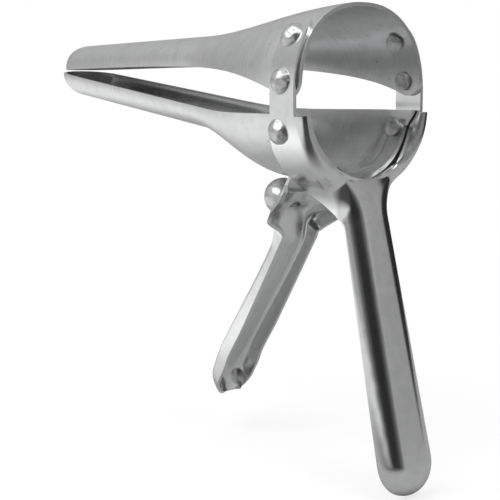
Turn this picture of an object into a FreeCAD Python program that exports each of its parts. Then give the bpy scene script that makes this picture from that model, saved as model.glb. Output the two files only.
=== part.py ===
"""Bivalve speculum in pressed sheet steel.

The origin is the centre of the mouth, in the plane of the yoke's front face.
+X points out of the mouth, the blades point to -X, and +Z is up along the straps.
The yoke and its handle are one pressing, and the upper blade is riveted inside its two straps.
The lower blade swings on two pivot rivets and carries the lever on one round-headed stud.
"""
import FreeCAD, Part
import Sketcher
import os
from math import asin, atan2, cos, exp, log, pi, radians, sin, sqrt, tan
from FreeCAD import Rotation, Vector

# Driving dimensions in millimetres, and angles in degrees
SIZES = {
    # Sheet and fits
    "gauge": 1.0,
    "seat_gap": 0.05,
    "shank_gap": 0.05,
    "seam_step": 0.03,
    # Mouth and yoke
    "mouth_radius": 20.2,
    "yoke_drop": 2.45,
    "yoke_bend": 2.0,
    "flange_top": 4.4,
    "neck_radius": 12.0,
    "neck_half_width": 7.7,
    # Straps
    "strap_front": 2.8,
    "strap_rear": 11.4,
    # Handle
    "handle_bottom": 98.8,
    "handle_end_radius": 8.5,
    "handle_bend": 4.0,
    "handle_lean": 14.0,
    "lean_start": 21.8,
    "lean_radius": 15.0,
    "lobe_back": 13.3,
    "lobe_drop": 22.6,
    "neck_depth": 3.4,
    "handle_depth": 5.3,
    # Hinge
    "hinge_back": 9.2,
    "hinge_drop": 7.9,
    # Upper blade
    "rim_back": 2.1,
    "rim_half_width": 21.6,
    "rim_height": 22.8,
    "crest_height": 17.5,
    "upper_edge": 9.5,
    "upper_length": 138.4,
    "upper_tip_half_width": 9.8,
    "waist_half_width": 12.4,
    "nose_length": 8.5,
    "ear_radius": 4.0,
    # Lower blade
    "collar_radius": 21.3,
    "collar_back": 6.4,
    "lower_edge": 3.8,
    "lower_length": 142.0,
    "lower_depth": 7.4,
    "lower_tip_half_width": 10.0,
    # Lever
    "lever_slope": 57.4,
    "lever_reach": 94.4,
    "lever_half_width": 6.7,
    "lever_depth": 4.2,
    "lever_back": 2.2,
    "lever_belly": 2.1,
    "spoon_length": 7.0,
    "spoon_corner": 4.6,
    "head_half_width": 15.0,
    "head_waist": 12.9,
    "head_back": 5.2,
    "head_top": 15.6,
    "head_dip_radius": 16.0,
    "stud_place": 28.9,
    "tongue_width": 10.0,
    # Rivets and stud
    "rivet_head": 6.5,
    "rivet_rise": 2.0,
    "rivet_shank": 3.0,
    "rivet_tail": 4.8,
    "tail_rise": 0.7,
    "top_rivet_height": 14.3,
    "middle_rivet_height": 3.9,
    "rivet_back": 7.6,
    "stud_ball": 10.4,
    "stud_shank": 4.4,
    "stud_seat": 8.0,
    "stud_lift": 3.3,
    "pivot_length": 3.85,
}

doc = FreeCAD.newDocument("bivalve_speculum")
sheet = doc.addObject("Spreadsheet::Sheet", "sizes")
for row, (alias, value) in enumerate(SIZES.items(), 1):
    sheet.set(f"A{row}", alias)
    sheet.set(f"B{row}", str(value))
    sheet.setAlias(f"B{row}", alias)
doc.recompute()


def size(alias):
    """The value of one cell of the sheet."""
    return float(getattr(sheet, alias))


GAUGE = size("gauge")
YOKE_RADIUS = size("rim_half_width") + size("seat_gap") + GAUGE
HINGE = Vector(-size("hinge_back"), 0, -size("hinge_drop"))
ACROSS = Vector(0, 1, 0)


# Small helpers for smooth curves
def ease(x, start, end):
    """0 before start, 1 after end, and a smooth S between them."""
    part = min(max((x - start) / (end - start), 0), 1)
    return part * part * (3 - 2 * part)


def blend(a, b, share):
    return a + (b - a) * share


def soft_ramp(x, softness):
    """0 for a negative x and x for a positive one, with a soft corner."""
    return softness * log(1 + exp(x / softness))


def arched(half_width, height, power, angle):
    """A point of a superellipse, where power 2 is an ellipse and more is squarer."""
    angle = min(max(angle, 0), pi)
    c, s = cos(angle), sin(angle)
    side = 1 if c >= 0 else -1
    return side * half_width * abs(c) ** (2 / power), height * max(s, 0) ** (2 / power)


def start_angle(share, power):
    """The angle at which a superellipse has risen by this share of its height."""
    return asin(min(max(share, 0), 1) ** (power / 2))


def offset_point(surface, u, v, distance, u_range, v_range):
    """A point of the surface, moved along its normal."""
    step = 1e-4
    u0, u1 = max(u - step, u_range[0]), min(u + step, u_range[1])
    v0, v1 = max(v - step, v_range[0]), min(v + step, v_range[1])
    along = surface(u1, v) - surface(u0, v)
    around = surface(u, v1) - surface(u, v0)
    normal = along.cross(around)
    normal.normalize()
    return surface(u, v) + normal * distance


def skin(surface, stations, turns, distance):
    """The surface at an offset, as one smooth sheet through its stations."""
    u_range = (stations[0], stations[-1])
    v_range = (turns[0], turns[-1])
    grid = [[offset_point(surface, u, v, distance, u_range, v_range) for v in turns]
            for u in stations]
    sheet_skin = Part.BSplineSurface()
    sheet_skin.interpolate(grid)
    return sheet_skin


def pressing(surface, stations, turns, inside, outside):
    """The solid sheet between two offsets of a surface."""
    skins = [skin(surface, stations, turns, distance) for distance in (inside, outside)]
    rims = []
    for one, other in zip(border(skins[0]), border(skins[1])):
        rims.append(Part.makeRuledSurface(one, other))
    shell = Part.makeShell([face.toShape() for face in skins] + rims)
    shell.sewShape()
    solid = Part.makeSolid(shell)
    if solid.Volume < 0:
        solid.reverse()
    return solid


def border(surface):
    """The four edges of a surface."""
    u0, u1, v0, v1 = surface.bounds()
    curves = surface.uIso(u0), surface.uIso(u1), surface.vIso(v0), surface.vIso(v1)
    return [curve.toShape() for curve in curves]


def steps(start, end, count):
    return [start + (end - start) * i / (count - 1) for i in range(count)]


def rounded(corners):
    """A closed outline from corners (point, radius), each corner a tangent arc."""
    edges = []
    ends = []
    count = len(corners)
    for i, (point, radius) in enumerate(corners):
        before = corners[i - 1][0] - point
        after = corners[(i + 1) % count][0] - point
        before.normalize()
        after.normalize()
        if radius == 0:
            ends.append((point, point))
            continue
        half = before.getAngle(after) / 2
        reach = radius / tan(half)
        middle = before + after
        middle.normalize()
        bulge = point + middle * (radius / sin(half) - radius)
        first = point + before * reach
        last = point + after * reach
        edges.append(Part.Arc(first, bulge, last).toShape())
        ends.append((first, last))
    for i in range(count):
        a, b = ends[i][1], ends[(i + 1) % count][0]
        if a.distanceToPoint(b) > 1e-6:
            edges.append(Part.LineSegment(a, b).toShape())
    return Part.Wire(Part.__sortEdges__(edges))


def slab(wire, direction):
    """A prism of a flat outline, half of the direction to each side."""
    face = Part.Face(wire)
    face.translate(direction * -0.5)
    return face.extrude(direction)


def drill(point, axis, radius, length):
    """A round cutter centred on a point."""
    return Part.makeCylinder(radius, length, point - axis * (length / 2), axis)


def side_view(x, z):
    return Vector(x, 0, z)


# Upper blade
def upper_edge_height(back):
    """Height of the blade's free edge, a distance behind the rear rim."""
    ear_length = size("ear_radius") + 1
    rise = size("ear_radius") * 5.5
    return size("upper_edge") * (1 - exp(-max(back - ear_length, 0) / rise))


def nose(station, base, length):
    """Distance along a blade and the share of its section left there."""
    if station <= 1:
        return base * station, 1.0
    turn = (station - 1) * pi / 2
    return base + length * sin(turn), cos(turn)


PARALLEL = size("strap_rear") - size("rim_back") + 1
FLARE = 60.0
UPPER_BASE = size("upper_length") - size("nose_length")
UPPER_POWER = 2.3


def upper_section(station):
    back, left = nose(station, UPPER_BASE, size("nose_length"))
    forward = ease(back, PARALLEL, FLARE)
    tip_share = max(back - FLARE, 0) / (UPPER_BASE - FLARE)
    slim = blend(size("waist_half_width"), size("upper_tip_half_width"), min(tip_share, 1))
    half_width = blend(size("rim_half_width"), slim, forward) * left
    crest = blend(size("rim_height"), size("crest_height"), ease(back, -2, FLARE))
    edge = upper_edge_height(back)
    centre = edge * forward
    return back, half_width, crest, centre, edge, left


def upper_surface(station, turn):
    """Outside of the upper blade, with turn from 0 at one free edge to 1 at the other."""
    back, half_width, crest, centre, edge, left = upper_section(station)
    first = start_angle((edge - centre) / (crest - centre), UPPER_POWER)
    angle = blend(first, pi - first, turn)
    y, rise = arched(half_width, (crest - centre) * left, UPPER_POWER, angle)
    return Vector(-size("rim_back") - back, y, centre + rise)


def strap_surface(back, angle):
    """The same outside near the rear rim, carried on below the free edge."""
    _, half_width, crest, _, _, _ = upper_section(back / UPPER_BASE)
    y, z = arched(half_width, crest, UPPER_POWER, angle)
    below = min(angle, pi - angle, 0)
    return Vector(-size("rim_back") - back, y, z + below * crest)


def blade_stations(base, nose_steps):
    along = [0, 6, 13, 22, 33, 46, 60, 90, 118]
    ahead = [1 + i / nose_steps for i in range(nose_steps)]
    return [back / base for back in along] + ahead + [2 - 0.3 / nose_steps]


def rivet_place(height):
    """Where a blade rivet's axis meets the outside of the far strap, and its direction."""
    back = size("rivet_back") - size("rim_back")
    _, half_width, crest, _, _, _ = upper_section(back / UPPER_BASE)
    angle = start_angle(height / crest, UPPER_POWER)
    distance = size("seat_gap") + GAUGE
    u_range, v_range = (0, PARALLEL), (0, pi)
    outside = offset_point(strap_surface, back, angle, distance, u_range, v_range)
    inside = offset_point(strap_surface, back, angle, 0, u_range, v_range)
    axis = outside - inside
    axis.normalize()
    return outside, axis


def mirrored(vector):
    return Vector(vector.x, -vector.y, vector.z)


PLACES = {}
for level in ("top", "middle"):
    spot, out = rivet_place(size(level + "_rivet_height"))
    PLACES["far_" + level] = spot, out
    PLACES["near_" + level] = mirrored(spot), mirrored(out)

RIVET_HOLE = size("rivet_shank") / 2 + size("shank_gap")


def upper_blade():
    stations = blade_stations(UPPER_BASE, 5)
    blade = pressing(upper_surface, stations, steps(0, 1, 13), 0, -GAUGE)
    radius = size("ear_radius")
    corner = side_view(-size("rim_back"), 0)
    depth = size("rim_half_width") / 2
    for side in (-1, 1):
        place = corner - Vector(radius, depth / 2, 0) + ACROSS * (side * size("rim_half_width"))
        square = Part.makeBox(radius + 1, depth, radius, place)
        round_off = drill(corner + Vector(-radius, 0, radius), ACROSS, radius, 80)
        blade = blade.cut(square.cut(round_off))
    holes = [drill(spot, out, RIVET_HOLE, 10) for spot, out in PLACES.values()]
    return blade.cut(holes)


# Yoke and handle
YOKE = Vector(0, 0, -size("yoke_drop"))
NECK_Y = size("neck_half_width") + size("neck_radius")
NECK_DROP = sqrt((YOKE_RADIUS + size("neck_radius")) ** 2 - NECK_Y ** 2)
NECK = Vector(0, NECK_Y, YOKE.z - NECK_DROP)
END = Vector(0, 0, size("handle_end_radius") - size("handle_bottom"))
LEAN = radians(size("handle_lean"))


def front_outline(inset, top):
    """Outline of the yoke and handle from the front, drawn in by the inset."""
    yoke = YOKE_RADIUS - inset
    neck = size("neck_radius") + inset
    end = size("handle_end_radius") - inset
    to_neck = NECK - YOKE
    to_neck.normalize()
    meet = YOKE + to_neck * yoke
    line = NECK - END
    slant = atan2(line.z, line.y) + asin((end + neck) / line.Length)
    normal = Vector(0, sin(slant), -cos(slant))
    on_end = END + normal * end
    on_neck = NECK - normal * neck
    middle = to_neck + ACROSS
    middle.normalize()
    neck_middle = (meet + on_neck) * 0.5 - NECK
    neck_middle.normalize()
    half = [
        Part.LineSegment(Vector(0, yoke, top), Vector(0, yoke, YOKE.z)),
        Part.Arc(Vector(0, yoke, YOKE.z), YOKE + middle * yoke, meet),
        Part.Arc(meet, NECK + neck_middle * neck, on_neck),
        Part.LineSegment(on_neck, on_end),
    ]
    edges = [curve.toShape() for curve in half]
    edges += [curve.toShape().mirror(Vector(), ACROSS) for curve in half]
    bottom = Part.Arc(on_end, END - Vector(0, 0, end), mirrored(on_end))
    lid = Part.LineSegment(Vector(0, yoke, top), Vector(0, -yoke, top))
    edges += [bottom.toShape(), lid.toShape()]
    return Part.Wire(Part.__sortEdges__(edges))


def front_x(z, inset=0):
    """The handle's leaning front plane, moved back by the inset."""
    return -(size("lean_start") + z) * tan(LEAN) - inset / cos(LEAN)


def bend_radius(z):
    """Outer bend radius, tight round the mouth and wide down the handle."""
    share = (-z - size("lean_start") - 2.2) / 7
    return blend(size("yoke_bend"), size("handle_bend"), min(max(share, 0), 1))


def is_front_edge(edge, inset):
    """True where the front meets a side wall."""
    middle = edge.valueAt((edge.FirstParameter + edge.LastParameter) / 2)
    front = max(-inset, front_x(middle.z, inset))
    at_end = middle.z < inset + 1 - size("handle_bottom")
    return abs(middle.x - front) < 0.3 and (abs(middle.y) > 1 or at_end)


def block(name, inset):
    """The pressing as a solid block, drawn in by the inset, with its front edges rounded."""
    top = inset * 5
    deep = -40.0
    low = -size("handle_bottom") - 10
    corner = -size("lean_start") - inset * tan(LEAN / 2)
    side = rounded([
        (side_view(-inset, top), 0),
        (side_view(-inset, corner), size("lean_radius") + inset),
        (side_view(front_x(low, inset), low), 0),
        (side_view(deep, low), 0),
        (side_view(deep, top), 0),
    ])
    sharp = doc.addObject("Part::Feature", name + "_block")
    sharp.Shape = slab(front_outline(inset, top), Vector(160, 0, 0)).common(slab(side, ACROSS * 80))
    radii = []
    for number, edge in enumerate(sharp.Shape.Edges, 1):
        if is_front_edge(edge, inset):
            ends = [bend_radius(vertex.Z) - inset
                    for vertex in (edge.firstVertex(), edge.lastVertex())]
            radii.append((number, ends[0], ends[1]))
    smooth = doc.addObject("Part::Fillet", name + "_rounded")
    smooth.Base = sharp
    smooth.Edges = radii
    doc.recompute()
    return smooth.Shape


def rear_limit():
    """Side view of what the pressing keeps, behind which its walls are trimmed."""
    lobe = side_view(-size("lobe_back"), -size("lobe_drop"))
    neck_z = -size("lean_start") - 9.5
    neck = side_view(front_x(neck_z) - size("neck_depth"), neck_z)
    low = -size("handle_bottom") - 5
    foot = side_view(front_x(low) - size("handle_depth") / cos(LEAN), low)
    shoulder = -size("hinge_drop") - 4
    outline = rounded([
        (side_view(-size("strap_rear"), 0), 0),
        (side_view(-size("strap_rear"), shoulder + 6), 9),
        (side_view(-size("lobe_back"), shoulder), 9),
        (lobe, 3.2),
        (neck, 6),
        (foot, 0),
        (side_view(60, low), 0),
        (side_view(60, 0), 0),
    ])
    return slab(outline, ACROSS * 80)


STRAP_MIDDLE = -(size("strap_front") + size("strap_rear")) / 2
STRAP_WIDTH = size("strap_rear") - size("strap_front")


def strap_limit():
    """Side view of a strap, with its round top over the top rivet."""
    radius = STRAP_WIDTH / 2
    centre = side_view(STRAP_MIDDLE, size("top_rivet_height"))
    outline = [
        Part.Arc(centre + side_view(radius, 0), centre + side_view(0, radius),
                 centre - side_view(radius, 0)).toShape(),
        Part.LineSegment(centre - side_view(radius, 0), side_view(STRAP_MIDDLE - radius, -1)).toShape(),
        Part.LineSegment(side_view(STRAP_MIDDLE - radius, -1),
                         side_view(STRAP_MIDDLE + radius, -1)).toShape(),
        Part.LineSegment(side_view(STRAP_MIDDLE + radius, -1),
                         centre + side_view(radius, 0)).toShape(),
    ]
    return slab(Part.Wire(Part.__sortEdges__(outline)), ACROSS * 80)


def handle():
    shell = block("outside", 0).cut(block("inside", GAUGE)).common(rear_limit())
    mouth = drill(Vector(), Vector(1, 0, 0), size("mouth_radius"), 16)
    step = Part.makeBox(20, 80, 10, Vector(-size("strap_front"), -40, -size("flange_top")))
    shell = shell.cut([mouth, step])
    gap = size("seat_gap")
    arch = pressing(strap_surface, steps(0, PARALLEL, 7), steps(-0.05, pi + 0.05, 27),
                    gap + size("seam_step"), gap + GAUGE - size("seam_step"))
    straps = arch.common(strap_limit())
    body = shell.fuse(straps)
    holes = [drill(spot, out, RIVET_HOLE, 10) for spot, out in PLACES.values()]
    holes.append(drill(HINGE, ACROSS, RIVET_HOLE, 80))
    return body.cut(holes)


# Lower blade
LOWER_BASE = size("lower_length") - size("nose_length")
LINE_START = 45.2
LINE_SLOPE = 0.134
REAR_START = 3.0


def lower_section(station):
    back, left = nose(station, LOWER_BASE - REAR_START, size("nose_length"))
    back += REAR_START
    forward = ease(back, 24, FLARE)
    edge = LINE_SLOPE * soft_ramp(back - LINE_START, 5) - size("lower_edge")
    line = LINE_SLOPE * (back - LINE_START) - size("lower_edge")
    bottom = blend(-size("collar_radius"), line - size("lower_depth"), forward)
    centre = edge * forward
    tip_share = max(back - FLARE, 0) / (LOWER_BASE - FLARE)
    slim = blend(size("waist_half_width"), size("lower_tip_half_width"), min(tip_share, 1))
    half_width = blend(size("collar_radius"), slim, ease(back, 14, FLARE)) * left
    power = blend(2.4, 2.0, ease(back, 10.5, 14)) + 0.2 * forward
    return back, half_width, bottom, centre, edge, power, left


def lower_surface(station, turn):
    """Outside of the lower blade, with turn from 0 at one free edge to 1 at the other."""
    back, half_width, bottom, centre, edge, power, left = lower_section(station)
    depth = centre - bottom
    first = start_angle((centre - edge) / depth, power)
    angle = blend(first, pi - first, turn)
    y, drop = arched(half_width, depth * left, power, angle)
    return Vector(-back, y, centre - drop)


def lever_frame(across, down, out):
    """A point given across, down the lever from the hinge, and out towards the handle."""
    slope = radians(size("lever_slope"))
    along = Vector(-cos(slope), 0, -sin(slope))
    outward = Vector(sin(slope), 0, -cos(slope))
    return HINGE + along * down + outward * out + ACROSS * across


OUTWARD = lever_frame(0, 0, 1) - HINGE
STUD_HOLE = size("stud_shank") / 2 + size("shank_gap")


def tongue():
    """The tab under the blade that takes the stud."""
    half = size("tongue_width") / 2
    near = -size("head_back") - size("seat_gap") - GAUGE
    top = 18.6
    end = size("stud_place")
    outline = [
        Part.LineSegment(lever_frame(half, top, near), lever_frame(-half, top, near)),
        Part.LineSegment(lever_frame(-half, top, near), lever_frame(-half, end, near)),
        Part.Arc(lever_frame(-half, end, near), lever_frame(0, end + half, near),
                 lever_frame(half, end, near)),
        Part.LineSegment(lever_frame(half, end, near), lever_frame(half, top, near)),
    ]
    wire = Part.Wire(Part.__sortEdges__([curve.toShape() for curve in outline]))
    return Part.Face(wire).extrude(OUTWARD * GAUGE)


def lower_blade():
    stations = blade_stations(LOWER_BASE - REAR_START, 5)
    blade = pressing(lower_surface, stations, steps(0, 1, 13), 0, GAUGE)
    rim = -size("collar_back")
    corner = HINGE.z + 0.3
    cutter = rounded([
        (side_view(20, 5), 0),
        (side_view(rim + 3.2, 5), 0),
        (side_view(rim + 2.4, corner + 3.0), 3),
        (side_view(rim, corner), 3),
        (side_view(rim, -40), 0),
        (side_view(20, -40), 0),
    ])
    blade = blade.cut(slab(cutter, ACROSS * 80))
    blade = blade.fuse(tongue())
    pivot = drill(HINGE, ACROSS, RIVET_HOLE, 80)
    stud = drill(lever_frame(0, size("stud_place"), -size("head_back")), OUTWARD, STUD_HOLE, 8)
    return blade.cut([pivot, stud])


# Lever
HEAD_END = 26.5
SHANK_START = 33.5
WEB_END = 39.0


def cradle(flat, bend, swing, wall, turn):
    """A channel's section: half a flat web, a bend of some angle and a straight wall."""
    share = abs(2 * turn - 1)
    side = 1 if turn < 0.5 else -1
    reach = share * (flat + bend * swing + wall)
    over = min(max(reach - flat, 0), bend * swing)
    angle = over / bend
    rest = max(reach - flat - bend * swing, 0)
    across = min(reach, flat) + bend * sin(angle) + rest * cos(swing)
    return side * across, bend * (1 - cos(angle)) + rest * sin(swing)


LEVER_TOP = size("head_top")
LEVER_END = size("lever_reach") + 1.5
SPOON_START = size("lever_reach") - size("spoon_length")
RIM = size("lever_depth") - size("lever_back")


def web_level(down):
    """How far the web lies behind the lever's own line: head, shank, belly and spoon."""
    slim = ease(down, HEAD_END + 2, WEB_END)
    level = -blend(size("head_back"), size("lever_back"), slim)
    level -= size("lever_belly") * ease(down, WEB_END, SPOON_START)
    near_end = max(down - SPOON_START, 0) / (LEVER_END - SPOON_START)
    return blend(level, RIM - GAUGE, near_end ** 2)


def lever_surface(station, turn):
    """Back of the lever, with turn from 0 at one free edge to 1 at the other."""
    down = blend(LEVER_TOP, LEVER_END, station)
    slim = ease(down, HEAD_END, SHANK_START)
    web = web_level(down)
    ear = blend(size("head_waist"), size("head_half_width"), ease(down, LEVER_TOP + 3, HEAD_END - 1))
    ear += 1.5 * (1 - ease(down, LEVER_TOP - 1, LEVER_TOP + 4))
    near_end = max(down - LEVER_END + size("spoon_corner"), 0) / size("spoon_corner")
    corner = size("spoon_corner") * (1 - sqrt(1 - (0.9 * near_end) ** 2))
    half_width = blend(ear, size("lever_half_width"), slim) - corner
    rise = RIM - web
    bend = blend(14, 2.4, slim)
    swing = radians(blend(44, 88, slim) * (1 - exp(-(rise / 2.4) ** 1.5)))
    wall = max((rise - bend * (1 - cos(swing))) / sin(swing), 0.3)
    flat = max(half_width - bend * sin(swing) - wall * cos(swing), 0.4)
    y, bow = cradle(flat, bend, swing, wall, turn)
    return lever_frame(y, down, web + bow)


def lever():
    along = [15.6, 18, 20.5, 23, 25.5, 28, 30.5, 33.5, 37.5, 42.5, 50, 62, 74, 83, 88.5, 91, 93, 94.6]
    stations = [(down - LEVER_TOP) / (LEVER_END - LEVER_TOP) for down in along] + [1]
    body = pressing(lever_surface, stations, steps(0, 1, 25), 0, -GAUGE)
    dip = size("head_dip_radius")
    dip_centre = lever_frame(0, LEVER_TOP + 7.7 - dip, 0)
    hole = drill(lever_frame(0, size("stud_place"), 0), OUTWARD, STUD_HOLE, 30)
    return body.cut([drill(dip_centre, OUTWARD, dip, 60), hole, lever_tail()])


def lever_tail():
    """What is left past the lever's straight end."""
    width = size("head_half_width")
    corners = [lever_frame(side * width, size("lever_reach"), -20) for side in (-1, 1)]
    corners += [lever_frame(side * width, size("lever_reach") + 9, -20) for side in (1, -1)]
    return Part.Face(Part.makePolygon(corners + corners[:1])).extrude(OUTWARD * 40)


# Rivets and stud
def total(terms):
    """The value of a sum of (alias, factor) terms."""
    return sum(size(alias) * factor for alias, factor in terms)


def formula(terms):
    """The same sum as an expression on the sheet."""
    return " + ".join(f"sizes.{alias} * ({factor})" for alias, factor in terms)


def turned(name, corners, domes=()):
    """A turned body from its half outline: corners (radius, height), domes where an arc starts."""
    body = doc.addObject("PartDesign::Body", name + "_turned")
    sketch = body.newObject("Sketcher::SketchObject", name + "_outline")
    plane = next(item for item in body.Origin.OriginFeatures if item.Role == "XZ_Plane")
    sketch.AttachmentSupport = (plane, "")
    sketch.MapMode = "FlatFace"
    points = [Vector(total(radius), total(height), 0) for radius, height in corners]
    ends = []
    for i, start in enumerate(points):
        stop = points[(i + 1) % len(points)]
        if i in domes:
            rise = (stop.dot(stop) - start.dot(start)) / (2 * (stop.y - start.y))
            centre = Vector(0, rise, 0)
            circle = Part.Circle(centre, Vector(0, 0, 1), start.distanceToPoint(centre))
            low = atan2(start.y - rise, start.x)
            high = atan2(stop.y - rise, stop.x)
            number = sketch.addGeometry(Part.ArcOfCircle(circle, min(low, high), max(low, high)))
            sketch.addConstraint(Sketcher.Constraint("PointOnObject", number, 3, -2))
            ends.append((number, 1, 2) if high > low else (number, 2, 1))
        else:
            ends.append((sketch.addGeometry(Part.LineSegment(start, stop)), 1, 2))
    for i, (number, first, _) in enumerate(ends):
        before, _, last = ends[i - 1]
        sketch.addConstraint(Sketcher.Constraint("Coincident", before, last, number, first))
        for kind, terms, axis in (("DistanceX", corners[i][0], -2), ("DistanceY", corners[i][1], -1)):
            if not terms:
                sketch.addConstraint(Sketcher.Constraint("PointOnObject", number, first, axis))
                continue
            label = f"{kind}_{i}"
            place = sketch.addConstraint(
                Sketcher.Constraint(kind, -1, 1, number, first, total(terms)))
            sketch.renameConstraint(place, label)
            sketch.setExpression("Constraints." + label, formula(terms))
    doc.recompute()
    turn = body.newObject("PartDesign::Revolution", name + "_turn")
    turn.Profile = sketch
    turn.ReferenceAxis = (sketch, ["V_Axis"])
    turn.Angle = 360
    doc.recompute()
    return body


def stand(body, point, axis):
    """Puts a turned body's origin on a point, with its own axis along the given one."""
    body.Placement = FreeCAD.Placement(point, Rotation(Vector(0, 0, 1), axis))


HEAD = (("rivet_head", 0.5),)
SHANK = (("rivet_shank", 0.5),)
TAIL = (("rivet_tail", 0.5),)
SKIRT = (("gauge", -0.3),)
RISE = (("rivet_rise", 1),)
TAIL_TOP = (("gauge", -2), ("seat_gap", -5))
TAIL_END = TAIL_TOP + (("tail_rise", -1),)


def blade_rivet(name, place):
    """A rivet through strap and blade, dressed to the sheets at its head and tail."""
    corners = [((), RISE), ((), TAIL_END), (TAIL, TAIL_END), (TAIL, TAIL_TOP),
               (SHANK, TAIL_TOP), (SHANK, SKIRT), (HEAD, SKIRT), (HEAD, ())]
    body = turned(name, corners, domes=(7,))
    stand(body, *PLACES[place])
    return trimmed(name, body, (nodes["handle"],))


def mirror_image(name, source):
    """The same piece on the other side of the middle plane."""
    twin = doc.addObject("Part::Mirroring", name + "_mirrored")
    twin.Source = source
    twin.Normal = ACROSS
    return twin


def trimmed(name, body, tools):
    """The body less the sheets that it is dressed to."""
    for number, tool in enumerate(tools, 1):
        cut = doc.addObject("Part::Cut", f"{name}_dressed_{number}")
        cut.Base = body
        cut.Tool = tool
        body = cut
    return body


def pivot_rivet(name, side):
    """A pivot rivet: its head lies on the yoke, and its tail is clear of the swinging ear."""
    wall = sqrt(YOKE_RADIUS ** 2 - (size("hinge_drop") - size("yoke_drop")) ** 2)
    outside = HINGE + ACROSS * (side * wall)
    deep = (("gauge", -1.2),)
    head = turned(name + "_head", [((), RISE), ((), deep), (HEAD, deep), (HEAD, ())], domes=(3,))
    stand(head, outside, ACROSS * side)
    reach = (("pivot_length", -1),)
    end = reach + (("tail_rise", -1),)
    corners = [((), ()), ((), end), (TAIL, end), (TAIL, reach), (SHANK, reach), (SHANK, ())]
    pin = turned(name + "_pin", corners)
    stand(pin, outside, ACROSS * side)
    whole = doc.addObject("Part::Fuse", name + "_whole")
    whole.Base = trimmed(name + "_head", head, (doc.getObject("outside_rounded"),))
    whole.Tool = pin
    return whole


def lever_stud():
    """The round-headed stud through the blade's tongue and the lever's head plate."""
    through = (("gauge", 2), ("seat_gap", 1))
    ball_radius = size("stud_ball") / 2
    radius = (("stud_seat", 0.5),)
    top = through + (("stud_lift", 1), ("stud_ball", 0.5))
    shank = (("stud_shank", 0.5),)
    corners = [((), ()), (shank, ()), (shank, through), (radius, through), ((), top)]
    body = turned("lever_stud", corners, domes=(3,))
    stand(body, lever_frame(0, size("stud_place"), GAUGE - size("head_back")), OUTWARD * -1)
    return body


def node(name, made):
    """Gives a finished sub-part its label, wrapping a plain shape in a feature."""
    if isinstance(made, Part.Shape):
        feature = doc.addObject("Part::Feature", name)
        feature.Shape = made.removeSplitter() if len(made.Solids) > 1 else made
        made = feature
    made.Label = name
    nodes[name] = made


nodes = {}
node("handle", handle())
node("upper_blade", upper_blade())
node("lower_blade", lower_blade())
node("lever", lever())
for level in ("top", "middle"):
    name = f"far_{level}_rivet"
    node(name, blade_rivet(name, "far_" + level))
    node(f"near_{level}_rivet", mirror_image(f"near_{level}_rivet", nodes[name]))
node("far_pivot_rivet", pivot_rivet("far_pivot_rivet", 1))
node("near_pivot_rivet", mirror_image("near_pivot_rivet", nodes["far_pivot_rivet"]))
node("lever_stud", lever_stud())
doc.recompute()

for item in doc.Objects:
    if "Invalid" in item.State or "Error" in item.State:
        raise RuntimeError(f"{item.Label} did not compute")

os.makedirs("parts", exist_ok=True)
for name, item in nodes.items():
    shape = item.Shape
    if shape.isNull() or not shape.isValid() or not shape.Solids:
        raise RuntimeError(f"{name} has no valid solid")
    print(f"{name}: {len(shape.Solids)} solid, {shape.Volume:.1f} mm3")
    shape.exportStep(f"parts/{name}.step")
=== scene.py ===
# %% [markdown]
# # A bivalve speculum in polished and satin steel
# The real object is made of four thin steel pressings, six rivets and a round-headed stud.
# CAD has fixed every size and joint already, so this lesson only works on what the eye sees:
# smooth curved sheets, honest sheet edges, and steel that is mirror bright in one place and
# brushed in another. Every length is in metres, in the frame that CAD uses.

# %% Load the frame
import math

import bmesh
import bpy
import numpy as np
from mathutils import Matrix, Vector


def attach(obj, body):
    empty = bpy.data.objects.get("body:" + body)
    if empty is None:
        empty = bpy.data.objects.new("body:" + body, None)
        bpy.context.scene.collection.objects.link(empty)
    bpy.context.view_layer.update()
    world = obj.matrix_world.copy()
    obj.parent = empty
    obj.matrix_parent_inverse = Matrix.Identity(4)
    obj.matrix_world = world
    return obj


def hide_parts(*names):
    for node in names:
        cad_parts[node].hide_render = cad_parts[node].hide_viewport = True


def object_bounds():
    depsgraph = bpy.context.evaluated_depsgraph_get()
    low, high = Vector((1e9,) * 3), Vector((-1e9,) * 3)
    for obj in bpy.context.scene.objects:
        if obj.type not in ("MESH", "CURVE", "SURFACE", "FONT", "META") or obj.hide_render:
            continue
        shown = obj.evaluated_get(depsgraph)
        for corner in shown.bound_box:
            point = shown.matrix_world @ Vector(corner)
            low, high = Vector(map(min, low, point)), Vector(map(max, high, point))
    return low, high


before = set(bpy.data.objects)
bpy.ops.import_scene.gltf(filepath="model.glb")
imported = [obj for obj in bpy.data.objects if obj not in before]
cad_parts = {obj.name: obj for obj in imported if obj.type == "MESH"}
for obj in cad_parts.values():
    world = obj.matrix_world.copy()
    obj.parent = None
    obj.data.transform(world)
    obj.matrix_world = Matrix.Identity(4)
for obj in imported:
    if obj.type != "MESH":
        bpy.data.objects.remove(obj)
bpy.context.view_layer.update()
MM = 0.001

# %% [markdown]
# ## Curves that the pressings share
# A press tool blends one section into the next, so most of the shapes below are a few section
# sizes that change smoothly along the piece. `ease` is the smooth step that does the blending,
# and `arched` is a superellipse, the flattened arch that a blade has across it.

# %% Helper curves
def ease(x, start, end):
    """0 before start, 1 after end, and the cubic 3t^2 - 2t^3 between them."""
    t = np.clip((x - start) / (end - start), 0, 1)
    return t * t * (3 - 2 * t)


def blend(a, b, share):
    """a where the share is 0 and b where it is 1."""
    return a + (b - a) * share


def arched(half_width, height, power, angle):
    """|y/w|^power + |z/h|^power = 1, walked by an angle from 0 to pi."""
    c, s = np.cos(angle), np.sin(angle)
    return (np.sign(c) * half_width * np.abs(c) ** (2 / power),
            height * np.clip(s, 0, None) ** (2 / power))


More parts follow.
